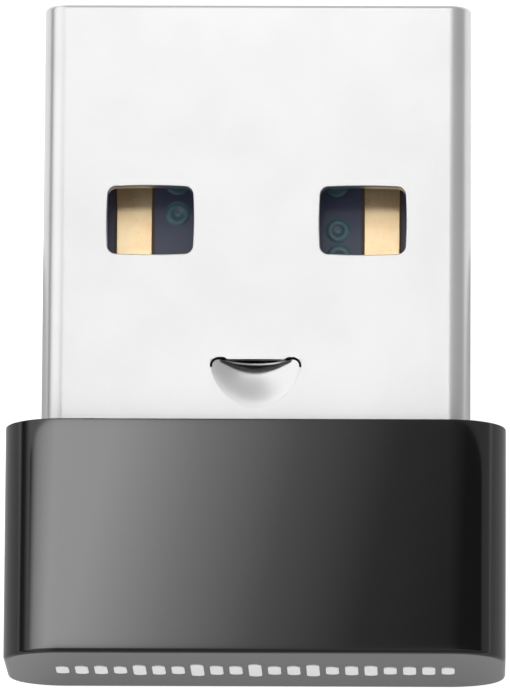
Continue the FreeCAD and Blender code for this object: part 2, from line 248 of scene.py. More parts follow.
def plate(
    centre: tuple[float, float], size: tuple[float, float], corner: float, z: tuple[float, float],
    steps: int = 8, bulge: float = 0.0,
) -> bmesh.types.BMesh:
    """A flat plate with rounded corners in plan.

    Args:
        centre: x and y of its middle.
        size: its width and length.
        corner: the radius of its corners.
        z: its lowest and highest z.
        steps: straight steps round each corner.
        bulge: how far each side swells out at its middle.

    Returns:
        The plate's mesh.
    """
    mesh = bmesh.new()
    bmesh.ops.create_grid(mesh, x_segments=1, y_segments=1, size=0.5)
    bmesh.ops.scale(mesh, vec=(size[0], size[1], 1.0), verts=mesh.verts)
    bmesh.ops.bevel(
        mesh, geom=mesh.verts[:], offset=corner, offset_type="OFFSET", segments=steps, profile=0.5,
        affect="VERTICES", material=-1,
    )
    if bulge:
        sides = [e for e in mesh.edges if e.calc_length() > corner]
        bmesh.ops.subdivide_edges(mesh, edges=sides, cuts=SWELL_CUTS)
        for vert in mesh.verts:
            across, along = 2 * vert.co.x / size[0], 2 * vert.co.y / size[1]
            vert.co.x += math.copysign(bulge * (1 - along**2), across) * abs(across) ** SWELL_FADE
            vert.co.y += math.copysign(bulge * (1 - across**2), along) * abs(along) ** SWELL_FADE
    push(mesh, (0, 0, z[1] - z[0]))
    bmesh.ops.translate(mesh, vec=(centre[0], centre[1], z[0]), verts=mesh.verts)
    return mesh


def sheet_from(outline: list[tuple[float, float, float]]) -> bmesh.types.BMesh:
    """One flat face.

    Args:
        outline: the points of its outline, in order.

    Returns:
        The face's mesh.
    """
    mesh = bmesh.new()
    verts, _ = thread(mesh, outline)
    bmesh.ops.contextual_create(mesh, geom=[verts[0], verts[-1]])
    bmesh.ops.contextual_create(mesh, geom=mesh.edges[:])
    return mesh


def ribbon(
    mesh: bmesh.types.BMesh, path: list[tuple[float, float]], thick: float, z: tuple[float, float]
) -> None:
    """Adds an upright ribbon that follows a path in plan.

    Args:
        mesh: the mesh to add it to.
        path: the x and y of the path's points.
        thick: the ribbon's thickness.
        z: its lowest and highest z.
    """
    _, edges = thread(mesh, [(x, y, z[0]) for x, y in path])
    raised = bmesh.ops.extrude_edge_only(mesh, edges=edges)
    walls = [part for part in raised["geom"] if isinstance(part, bmesh.types.BMFace)]
    bmesh.ops.translate(mesh, vec=(0, 0, z[1] - z[0]), verts=verts_of(raised))
    bmesh.ops.solidify(mesh, geom=walls, thickness=thick)


def new_object(name: str, mesh: bmesh.types.BMesh) -> bpy.types.Object:
    """Turns a mesh into an object, with its faces pointing outwards.

    Args:
        name: the object's name.
        mesh: the mesh, which is used up.

    Returns:
        The object.
    """
    bmesh.ops.recalc_face_normals(mesh, faces=mesh.faces)
    data = bpy.data.meshes.new(name)
    mesh.to_mesh(data)
    mesh.free()
    piece = bpy.data.objects.new(name, data)
    bpy.context.scene.collection.objects.link(piece)
    return piece


def carve(piece: bpy.types.Object, tool: bmesh.types.BMesh, cut: Cut) -> None:
    """Adds a tool body to a piece, or takes it away.

    Args:
        piece: the object that is changed.
        tool: the tool body, which is used up.
        cut: what the tool does.
    """
    body = new_object("tool_body", tool)
    modifier = piece.modifiers.new("carve", "BOOLEAN")
    modifier.operation = cut.value
    modifier.solver = "EXACT"
    modifier.object = body
    carved = bpy.data.meshes.new_from_object(piece.evaluated_get(bpy.context.evaluated_depsgraph_get()))
    piece.modifiers.clear()
    worn = piece.data
    piece.data = carved
    bpy.data.meshes.remove(worn)
    bpy.data.objects.remove(body)


def complete(
    piece: bpy.types.Object, name: str, finish: bpy.types.Material, nodes: list[str]
) -> None:
    """Brings a piece to metres, shades it, gives it its finish and puts it in place of its CAD nodes.

    Args:
        piece: the object, in millimetres.
        name: the piece's name.
        finish: its material.
        nodes: the CAD nodes that it stands for.
    """
    piece.name = name
    piece.data.name = name
    piece.data.transform(Matrix.Scale(MM, 4))
    piece.data.shade_smooth()
    piece.data.set_sharp_from_angle(angle=CREASE)
    weighted = piece.modifiers.new("even_shading", "WEIGHTED_NORMAL")
    weighted.keep_sharp = True
    weighted.weight = 100
    piece.data.materials.clear()
    piece.data.materials.append(finish)
    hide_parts(*nodes)
    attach(piece, ROOT)
    log.info("%s: %d faces, stands for %s", name, len(piece.data.polygons), ", ".join(nodes))


# ---- the plug shell -----------------------------------------------------------------------------------


@dataclass
class PlugShell:
    """The folded steel shell of the plug, open at its tip."""

    width: float = 12.0
    height: float = 4.5
    sheet: float = 0.3
    corner: float = 0.62
    corner_steps: int = 10
    coin: float = 0.11
    coin_steps: int = 4
    window_size: tuple[float, float] = (2.36, 1.89)
    window_centre: tuple[float, float] = (2.98, 5.8)
    window_corner: float = 0.2
    window_bulge: float = 0.035
    window_roll: float = 0.035
    window_roll_steps: int = 5
    window_search: float = 0.05
    scoop_edge: float = 1.84
    scoop_half: float = 1.34
    scoop_length: float = 1.5
    scoop_depth: float = 0.32
    scoop_point: float = 0.6
    scoop_bowl: float = 1.6
    scoop_skin: float = 0.25
    scoop_margin: float = 0.1
    scoop_grid: tuple[int, int] = (68, 88)
    skin_top: float = -0.02
    hollow_lift: float = -0.005
    hollow_top: float = 0.4
    lip_fall: float = 0.16
    lip_half: float = 0.98
    lip_shelf: float = 0.05
    lip_rise: float = 0.01
    lip_reach: float = 0.3
    lip_reach_end: float = 0.02
    lip_steps: int = 32
    slit_gap: float = 0.045
    slit_half: float = 0.8
    bow_follow: float = 0.8
    relief_rise: float = 0.06
    relief_radius: float = 0.25
    relief_inset: float = 0.06
    relief_cut: float = 0.066
    relief_turn: float = 100.0
    relief_steps: int = 10
    brow: tuple[float, float] = (0.24, 0.14)
    seam: float = 0.05
    seam_keys: tuple[float, float] = (2.6, 8.4)
    key_neck: float = 1.1
    key_head: float = 1.7
    key_reach: float = 1.0

    def __post_init__(self) -> None:
        """Takes the shell's two ends and its flat face from the frame."""
        low, high = corners_mm("plug_shell")
        self.tail = low.y
        self.tip = high.y
        self.face = high.z

    def tube(self) -> bmesh.types.BMesh:
        """The plain folded tube.

        Returns:
            The tube's mesh, with a coined edge at the tip.
        """
        mesh = bmesh.new()
        outer = (self.width, self.height, self.corner)
        inner = (self.width - 2 * self.sheet, self.height - 2 * self.sheet, self.corner - self.sheet)
        sections = [
            Section(*outer, self.tail),
            Section(*outer, self.tip),
            Section(*inner, self.tip),
            Section(*inner, self.tail),
            Section(*outer, self.tail),
        ]
        rings = sweep(mesh, sections, self.corner_steps)
        soften(mesh, rings[1], self.coin, self.coin_steps)
        bmesh.ops.remove_doubles(mesh, verts=mesh.verts, dist=WELD)
        return mesh

    def punch(self, side: Side) -> bmesh.types.BMesh:
        """The punch that goes through both wide faces on one side.

        Args:
            side: the side of the plug.

        Returns:
            A mesh of one rounded bar.
        """
        centre = (side.value * self.window_centre[0], self.window_centre[1])
        through = (-self.height, self.height)
        return plate(centre, self.window_size, self.window_corner, through, bulge=self.window_bulge)

    def roll_windows(self, piece: bpy.types.Object) -> None:
        """Rounds the outer rim of each window, as the punch draws it in.

        Args:
            piece: the shell, with its windows cut.
        """
        mesh = bmesh.new()
        mesh.from_mesh(piece.data)
        rims = []
        for edge in mesh.edges:
            flat = all(abs(abs(v.co.z) - self.face) < SAME_PLACE for v in edge.verts)
            wall = any(abs(f.normal.z) < 0.5 for f in edge.link_faces)
            near = all(abs(v.co.y - self.window_centre[1]) < self.window_size[1] for v in edge.verts)
            inside = all(abs(v.co.x) < self.width / 2 - self.corner - self.window_search for v in edge.verts)
            if flat and wall and near and inside:
                rims.append(edge)
        soften(mesh, rims, self.window_roll, self.window_roll_steps)
        mesh.to_mesh(piece.data)
        mesh.free()

    def lip_bow(self, x: float) -> float:
        """How far the pressed lip stands back from the shear line, at a place across the plug."""
        return self.slit_gap * max(0.0, 1 - (x / self.slit_half) ** 2)

    def scoop_fall(self, x: float, y: float) -> float:
        """How far the pressed scoop lies under the flat face.

        The scoop narrows from the shear line to a soft point, and its lip curls down along the line
        with an edge that turns up a little.

        Args:
            x: place across the plug.
            y: place along the plug.

        Returns:
            The depth, which is 0 outside the scoop.
        """
        back = self.scoop_edge - y
        along = min(1.0, max(0.0, back / self.scoop_length))
        half = self.scoop_half * (1 - along**2) ** self.scoop_point
        if half <= abs(x):
            return 0.0
        bowl = (1 - (x / half) ** 2) ** self.scoop_bowl
        bend = max(0.0, 1 - (x / self.lip_half) ** 2)
        from_lip = max(0.0, back - self.lip_bow(x))
        past = min(1.0, max(0.0, from_lip - self.lip_shelf) / (self.lip_reach * bend + self.lip_reach_end))
        curl = self.lip_fall * bend**0.5 * (1 - past) ** 2
        turn_up = self.lip_rise * bend * max(0.0, 1 - from_lip / self.lip_shelf)
        return bowl * self.scoop_depth * (1 - along**2) ** 2 + curl - turn_up

    def scoop_die(self, under: float, top: float) -> bmesh.types.BMesh:
        """A closed body whose underside follows the scoop.

        Args:
            under: how far its underside lies below the scoop's own surface.
            top: how far above the flat face its top lies.

        Returns:
            The body's mesh, which ends at the shear line.
        """
        width = 2 * (self.scoop_half + self.scoop_margin)
        length = self.scoop_length + self.scoop_margin
        mesh = bmesh.new()
        bmesh.ops.create_grid(mesh, x_segments=self.scoop_grid[0], y_segments=self.scoop_grid[1], size=0.5)
        bmesh.ops.scale(mesh, vec=(width, length, 1), verts=mesh.verts)
        bmesh.ops.translate(mesh, vec=(0, self.scoop_edge - length / 2, self.face), verts=mesh.verts)
        for vert in mesh.verts:
            share = 1 - (self.scoop_edge - vert.co.y) / length
            vert.co.y -= share * self.bow_follow * self.lip_bow(vert.co.x)
            vert.co.z -= self.scoop_fall(vert.co.x, vert.co.y) + under
        for vert in verts_of(bmesh.ops.extrude_face_region(mesh, geom=mesh.faces[:])):
            vert.co.z = self.face + top
        return mesh

    def slit_outline(self) -> list[tuple[float, float]]:
        """The outline of the opening at the shear line, in plan.

        It is a crescent behind the pressed lip, with a fine cut that curls back at each end.

        Returns:
            The x and y of its points, in order.
        """
        radius, cut = self.relief_radius, self.relief_radius - self.relief_cut
        brow_y = self.scoop_edge + self.relief_rise
        hub_x, hub_y = self.scoop_half - self.relief_inset - radius, brow_y - radius
        full_turn = math.radians(self.relief_turn)
        turns = [full_turn * i / self.relief_steps for i in range(self.relief_steps + 1)]
        outer = [(hub_x + radius * math.sin(t), hub_y + radius * math.cos(t)) for t in turns]
        inner = [(hub_x + cut * math.sin(t), hub_y + cut * math.cos(t)) for t in turns]
        arc = (self.slit_half**2 + self.slit_gap**2) / (2 * self.slit_gap)
        half_turn = math.asin(self.slit_half / arc)
        lip = []
        for i in range(self.lip_steps + 1):
            t = half_turn * (1 - 2 * i / self.lip_steps)
            lip.append((arc * math.sin(t), self.scoop_edge - self.slit_gap + arc * (1 - math.cos(t))))
        right_top = [(hub_x - self.brow[0], self.scoop_edge), (hub_x - self.brow[1], brow_y)] + outer
        left_top = [(-x, y) for x, y in reversed(right_top)]
        left_inner = [(-x, y) for x, y in inner]
        return left_top + right_top + list(reversed(inner)) + lip + left_inner

    def slit(self) -> bmesh.types.BMesh:
        """The tool that opens the shear line.

        Returns:
            A mesh of the opening's outline, pushed through the face.
        """
        base = self.face - 2 * self.scoop_depth
        mesh = sheet_from([(x, y, base) for x, y in self.slit_outline()])
        push(mesh, (0, 0, 3 * self.scoop_depth))
        return mesh

    def seam_line(self) -> bmesh.types.BMesh:
        """The closing seam of the folded sheet, with its dovetail keys.

        Returns:
            A mesh of one thin ribbon.
        """
        mesh = bmesh.new()
        path = [(0.0, self.tail - 1)]
        for y in self.seam_keys:
            path.append((0.0, y - self.key_neck / 2))
            path.append((self.key_reach, y - self.key_head / 2))
            path.append((self.key_reach, y + self.key_head / 2))
            path.append((0.0, y + self.key_neck / 2))
        path.append((0.0, self.tip + 1))
        ribbon(mesh, path, self.seam, (-self.face - 2 * self.seam, -self.face + 2 * self.sheet))
        return mesh

    def build(self, finish: bpy.types.Material) -> None:
        """Makes the shell and puts it in place.

        Args:
            finish: its material.
        """
        piece = new_object("plug_shell_sheet", self.tube())
        for side in Side:
            carve(piece, self.punch(side), Cut.REMOVE)
        self.roll_windows(piece)
        carve(piece, self.scoop_die(self.scoop_skin, self.skin_top), Cut.ADD)
        carve(piece, self.scoop_die(self.hollow_lift, self.hollow_top), Cut.REMOVE)
        carve(piece, self.slit(), Cut.REMOVE)
        carve(piece, self.seam_line(), Cut.REMOVE)
        complete(piece, "plug_shell_folded", finish, ["plug_shell"])


# ---- the cap ------------------------------------------------------------------------------------------


@dataclass
class HousingCap:
    """The glossy moulded cap, a closed cup round the shell's tail."""

    corner: float = 1.6
    corner_steps: int = 20
    tail_edge: float = 0.12
    tail_steps: int = 5
    mouth_edge: float = 0.035
    mouth_steps: int = 3
    end_wall: float = 0.9
    seat: tuple[float, float, float] = (12.02, 4.52, 0.63)
    seat_depth: float = 2.45
    room: tuple[float, float, float] = (11.5, 4.0, 0.5)

    def build(self, finish: bpy.types.Material) -> bpy.types.Object:
        """Makes the cap and puts it in place.

        Args:
            finish: its material.

        Returns:
            The cap.
        """
        low, high = corners_mm("housing_cap")
        width, height = high.x - low.x, high.z - low.z
        mesh = bmesh.new()
        sections = [
            Section(width, height, self.corner, low.y),
            Section(width, height, self.corner, high.y),
            Section(*self.seat, high.y),
            Section(*self.seat, high.y - self.seat_depth),
            Section(*self.room, high.y - self.seat_depth),
            Section(*self.room, low.y + self.end_wall),
        ]
        rings = sweep(mesh, sections, self.corner_steps, capped=True)
        soften(mesh, rings[0], self.tail_edge, self.tail_steps)
        soften(mesh, rings[1], self.mouth_edge, self.mouth_steps)
        piece = new_object("cap", mesh)
        complete(piece, "housing_cap_moulding", finish, ["housing_cap"])
        return piece


# ---- the tray under the board -------------------------------------------------------------------------


@dataclass
class BoardCarrier:
    """The moulded tray under the board, whose nose closes the lower half of the plug's mouth."""

    board_under: float = -0.85
    nose_back: float = 11.25
    edge: float = 0.07
    edge_steps: int = 3
    corner: float = 0.32
    corner_steps: int = 6
    floor: float = 0.22
    rail: float = 0.75
    pocket_corner: float = 0.3
    pocket_wall: float = 1.2
    panel_size: tuple[float, float] = (9.6, 0.95)
    panel_rise: float = -0.12
    panel_depth: float = 0.1
    panel_corner: float = 0.2

    def body(self, low: Vector, high: Vector) -> bmesh.types.BMesh:
        """The tray's outside: a step-shaped side that is pushed across the plug.

        Args:
            low: the lowest corner of its box.
            high: the highest corner of its box.

        Returns:
            The body's mesh, with rounded edges.
        """
        side = [(low.y, low.z), (high.y, low.z), (high.y, high.z), (self.nose_back, high.z)]
        side += [(self.nose_back, self.board_under), (low.y, self.board_under)]
        mesh = sheet_from([(low.x, y, z) for y, z in side])
        push(mesh, (high.x - low.x, 0, 0))
        bmesh.ops.recalc_face_normals(mesh, faces=mesh.faces)
        floors = [e for e in mesh.edges if all(v.co.z < low.z + SAME_PLACE for v in e.verts)]
        keels = [e for e in floors if e.verts[0].co.x * e.verts[1].co.x > 0]
        soften(mesh, keels, self.corner, self.corner_steps)
        rims = [e for e in mesh.edges if all(v.co.y > high.y - SAME_PLACE for v in e.verts)]
        soften(mesh, rims, self.edge, self.edge_steps)
        return mesh

    def build(self, finish: bpy.types.Material) -> None:
        """Makes the tray and puts it in place.

        Args:
            finish: its material.
        """
        low, high = corners_mm("board_carrier")
        piece = new_object("tray", self.body(low, high))
        back, front = low.y - 1, high.y - self.pocket_wall
        size = (high.x - low.x - 2 * self.rail, front - back)
        pocket = plate((0, (back + front) / 2), size, self.pocket_corner, (low.z + self.floor, high.z + 1))
        carve(piece, pocket, Cut.REMOVE)
        middle = (low.z + high.z) / 2 + self.panel_rise
        panel = plate((0, middle), self.panel_size, self.panel_corner, (-self.panel_depth, 1))
        for vert in panel.verts:
            vert.co = Vector((vert.co.x, high.y + vert.co.z, vert.co.y))
        carve(piece, panel, Cut.REMOVE)
        complete(piece, "board_carrier_tray", finish, ["board_carrier"])


# ---- the board's fine parts ---------------------------------------------------------------------------


def islands_mm(node: str) -> list[Vector]:
    """The middle of each separate solid of a CAD node.

    Args:
        node: the node's name.

    Returns:
        One point for each solid, in millimetres.
    """
    mesh = bmesh.new()
    mesh.from_mesh(frame["nodes"][node].data)
    bmesh.ops.remove_doubles(mesh, verts=mesh.verts, dist=WELD * MM)
    waiting = set(mesh.verts)
    middles = []
    while waiting:
        shore = [waiting.pop()]
        island = []
        while shore:
            vert = shore.pop()
            island.append(vert.co.copy())
            for edge in vert.link_edges:
                other = edge.other_vert(vert)
                if other in waiting:
                    waiting.remove(other)
                    shore.append(other)
        low = Vector([min(co[axis] for co in island) for axis in range(3)])
        high = Vector([max(co[axis] for co in island) for axis in range(3)])
        middles.append((low + high) / 2 / MM)
    mesh.free()
    return sorted(middles, key=lambda middle: (middle.x, middle.y))


@dataclass
class TentedVias:
    """The plated holes of the board, which the solder mask covers with low dimpled domes."""

    foot: float = 0.36
    crown: float = 0.24
    dimple: float = 0.11
    height: float = 0.03
    pit: float = 0.002
    stem: float = 0.17
    sunk: float = 0.01
    steps: int = 40

    def dome(self, mesh: bmesh.types.BMesh, place: Vector, face: float, under: float) -> None:
        """Adds one dome with its stem.

        Args:
            mesh: the mesh to add it to.
            place: the middle of its hole.
            face: the top of the solder mask.
            under: the lowest z of its stem.
        """
        middle = (self.crown + self.foot) / 2
        profile = [(0.0, face + 0.35 * self.height), (0.5 * self.dimple, face)]
        profile += [(self.dimple, face - self.pit), (1.35 * self.dimple, face + 0.6 * self.height)]
        profile += [(self.crown, face + self.height), (middle, face + 0.8 * self.height)]
        profile += [(self.foot, face), (self.foot, face - self.sunk)]
        profile += [(self.stem, face - self.sunk), (self.stem, under), (0.0, under)]
        before = set(mesh.verts)
        chain, links = thread(mesh, [(x, 0, z) for x, z in profile])
        bmesh.ops.spin(
            mesh, geom=chain + links, cent=(0, 0, 0), axis=(0, 0, 1), angle=2 * math.pi, steps=self.steps,
            use_merge=True,
        )
        ring = [vert for vert in mesh.verts if vert not in before]
        bmesh.ops.translate(mesh, vec=(place.x, place.y, 0), verts=ring)

    def build(self, finish: bpy.types.Material) -> None:
        """Makes every dome as one piece and puts it in place.

        Args:
            finish: its material.
        """
        _, mask_top = corners_mm("solder_mask")
        low, _ = corners_mm("plated_vias")
        mesh = bmesh.new()
        for place in islands_mm("plated_vias"):
            self.dome(mesh, place, mask_top.z, low.z)
        bmesh.ops.remove_doubles(mesh, verts=mesh.verts, dist=WELD)
        complete(new_object("vias", mesh), "via_tents", finish, ["plated_vias"])


@dataclass
class ContactPads:
    """The four plated contacts, with edges that the etching has left a little round."""

    corner: float = 0.12
    corner_steps: int = 6
    edge: float = 0.018
    edge_steps: int = 3

    def build(self, finish: bpy.types.Material) -> None:
        """Makes each pad and puts it in place.

        Args:
            finish: their material.
        """
        for name in ("contact_power", "contact_data_minus", "contact_data_plus", "contact_ground"):
            low, high = corners_mm(name)
            middle, size = (low + high) / 2, high - low
            plan = (middle.x, middle.y), (size.x, size.y)
            mesh = plate(*plan, self.corner, (low.z, high.z), steps=self.corner_steps)
            rim = [e for e in mesh.edges if all(abs(v.co.z - high.z) < SAME_PLACE for v in e.verts)]
            soften(mesh, rim, self.edge, self.edge_steps)
            complete(new_object(name + "_pad", mesh), name + "_pad", finish, [name])


# ---- finishes -----------------------------------------------------------------------------------------


@dataclass(frozen=True)
class PlasticFinish:
    """A moulded plastic or fired ceramic: its colour, its gloss and how coarse its skin is."""

    name: str
    colour: tuple[float, float, float]
    roughness: float
    grain_mm: float
    relief: float
    variation: float


@dataclass(frozen=True)
class MetalFinish:
    """A plated or rolled metal: its colour, its sheen and the run of its grain."""

    name: str
    colour: tuple[float, float, float]
    roughness: float
    grain_mm: float
    stretch: float
    relief: float
    tarnish: tuple[float, float, float]
    patch_mm: float = 2.2
    play: float = 0.1
    specks: float = 0.0
    metallic: float = 1.0


# The finish of each material slot.
PLASTICS = {
    "cap_gloss_black": PlasticFinish("cap_gloss", (0.007, 0.007, 0.0075), 0.12, 0.35, 0.01, 0.2),
    "insert_black": PlasticFinish("insert_matt", (0.014, 0.014, 0.015), 0.5, 0.12, 0.25, 0.4),
    "laminate": PlasticFinish("laminate", (0.06, 0.032, 0.022), 0.5, 0.1, 0.3, 0.5),
    "solder_mask_dark": PlasticFinish("solder_mask", (0.034, 0.042, 0.08), 0.38, 0.25, 0.03, 0.4),
    "via_copper": PlasticFinish("via_tent", (0.04, 0.09, 0.115), 0.3, 0.2, 0.05, 0.5),
    "chip_epoxy": PlasticFinish("chip_epoxy", (0.02, 0.02, 0.022), 0.55, 0.05, 0.3, 0.4),
    "crystal_ceramic": PlasticFinish("crystal_ceramic", (0.05, 0.045, 0.04), 0.5, 0.05, 0.3, 0.4),
    "capacitor_ceramic": PlasticFinish("capacitor_ceramic", (0.28, 0.19, 0.11), 0.45, 0.06, 0.2, 0.4),
    "resistor_black": PlasticFinish("resistor_coat", (0.02, 0.02, 0.024), 0.35, 0.06, 0.2, 0.4),
    "inductor_white": PlasticFinish("inductor_ceramic", (0.6, 0.61, 0.63), 0.4, 0.06, 0.2, 0.2),
    "ferrite_grey": PlasticFinish("ferrite", (0.05, 0.05, 0.055), 0.5, 0.06, 0.3, 0.4),
    "print_white": PlasticFinish("printed_ink", (0.92, 0.92, 0.91), 0.5, 0.08, 0.2, 0.05),
}

METALS = {
    "plated_steel": MetalFinish(
        "shell_nickel", (0.62, 0.62, 0.62), 0.32, 0.1, 16.0, 0.012, (0.6, 0.6, 0.6), play=0.04
    ),
    "gold_plate": MetalFinish(
        "contact_gold", (0.87, 0.68, 0.42), 0.29, 0.6, 1.0, 0.02, (0.84, 0.6, 0.35),
        patch_mm=0.7, specks=0.5, metallic=0.75,
    ),
    "antenna_copper": MetalFinish(
        "antenna_copper", (0.85, 0.45, 0.28), 0.35, 0.05, 1.0, 0.1, (0.6, 0.3, 0.2)
    ),
    "solder": MetalFinish("solder", (0.72, 0.73, 0.74), 0.25, 0.15, 1.0, 0.3, (0.5, 0.5, 0.5)),
    "tinned_leads": MetalFinish("tinned_leads", (0.74, 0.74, 0.74), 0.35, 0.05, 1.0, 0.2, (0.6, 0.6, 0.6)),
    "crystal_metal": MetalFinish("crystal_lid", (0.75, 0.72, 0.64), 0.3, 0.08, 4.0, 0.1, (0.66, 0.64, 0.58)),
}


def blank_material(name: str) -> tuple[bpy.types.Material, bpy.types.NodeTree]:
    """A material whose node tree is empty.

    Args:
        name: the material's name.

    Returns:
        The material and its node tree.
    """
    material = bpy.data.materials.new(name)
    material.use_nodes = True
    material.node_tree.nodes.clear()
    return material, material.node_tree


def moulded(finish: PlasticFinish) -> bpy.types.Material:
    """A moulded or fired surface with a fine skin and a slight unevenness of colour and gloss.

    Args:
        finish: the surface's values.

    Returns:
        The material.
    """
    material, tree = blank_material(finish.name)
    nodes, links = tree.nodes, tree.links

    place_frame = nodes.new("NodeFrame")
    place_frame.label = "Place on the piece"
    skin_frame = nodes.new("NodeFrame")
    skin_frame.label = "Skin left by the mould"
    tone_frame = nodes.new("NodeFrame")
    tone_frame.label = "Unevenness of colour and gloss"

    place = nodes.new("ShaderNodeTexCoord")
    place.label = "Fixed to the piece"
    place.location = (-1100, 0)
    place.parent = place_frame

    grain = nodes.new("ShaderNodeTexNoise")
    grain.label = "Fine mould texture"
    grain.location = (-850, -220)
    grain.parent = skin_frame
    grain.inputs["Scale"].default_value = 1 / (finish.grain_mm * MM)
    grain.inputs["Detail"].default_value = 3.0
    grain.inputs["Roughness"].default_value = 0.6

    relief = nodes.new("ShaderNodeBump")
    relief.label = "Height of the mould texture"
    relief.location = (-350, -260)
    relief.parent = skin_frame
    relief.inputs["Strength"].default_value = finish.relief
    relief.inputs["Distance"].default_value = 0.02 * MM

    cloud = nodes.new("ShaderNodeTexNoise")
    cloud.label = "Flow of the melt"
    cloud.location = (-850, 120)
    cloud.parent = tone_frame
    cloud.inputs["Scale"].default_value = 1 / (12 * finish.grain_mm * MM)
    cloud.inputs["Detail"].default_value = 2.0

    tint = nodes.new("ShaderNodeMix")
    tint.label = "Slightly lighter where it flowed"
    tint.data_type = "RGBA"
    tint.location = (-350, 200)
    tint.parent = tone_frame
    tint.inputs["A"].default_value = (*finish.colour, 1.0)
    lighter = tuple(min(1.0, channel * (1 + finish.variation)) for channel in finish.colour)
    tint.inputs["B"].default_value = (*lighter, 1.0)

    gloss = nodes.new("ShaderNodeMapRange")
    gloss.label = "Gloss from duller to brighter"
    gloss.location = (-600, -20)
    gloss.parent = tone_frame
    gloss.inputs["From Min"].default_value = 0.3
    gloss.inputs["From Max"].default_value = 0.7
    gloss.inputs["To Min"].default_value = finish.roughness * (1 - 0.25 * finish.variation)
    gloss.inputs["To Max"].default_value = finish.roughness * (1 + 0.25 * finish.variation)

    surface = nodes.new("ShaderNodeBsdfPrincipled")
    surface.label = "Plastic body"
    surface.location = (-50, 60)
    surface.inputs["IOR"].default_value = 1.5

    output = nodes.new("ShaderNodeOutputMaterial")
    output.label = "Finished surface"
    output.location = (300, 60)

    links.new(place.outputs["Object"], grain.inputs["Vector"])
    links.new(place.outputs["Object"], cloud.inputs["Vector"])
    links.new(grain.outputs["Fac"], relief.inputs["Height"])
    links.new(cloud.outputs["Fac"], tint.inputs["Factor"])
    links.new(cloud.outputs["Fac"], gloss.inputs["Value"])
    links.new(tint.outputs["Result"], surface.inputs["Base Color"])
    links.new(gloss.outputs["Result"], surface.inputs["Roughness"])
    links.new(relief.outputs["Normal"], surface.inputs["Normal"])
    links.new(surface.outputs["BSDF"], output.inputs["Surface"])
    return material


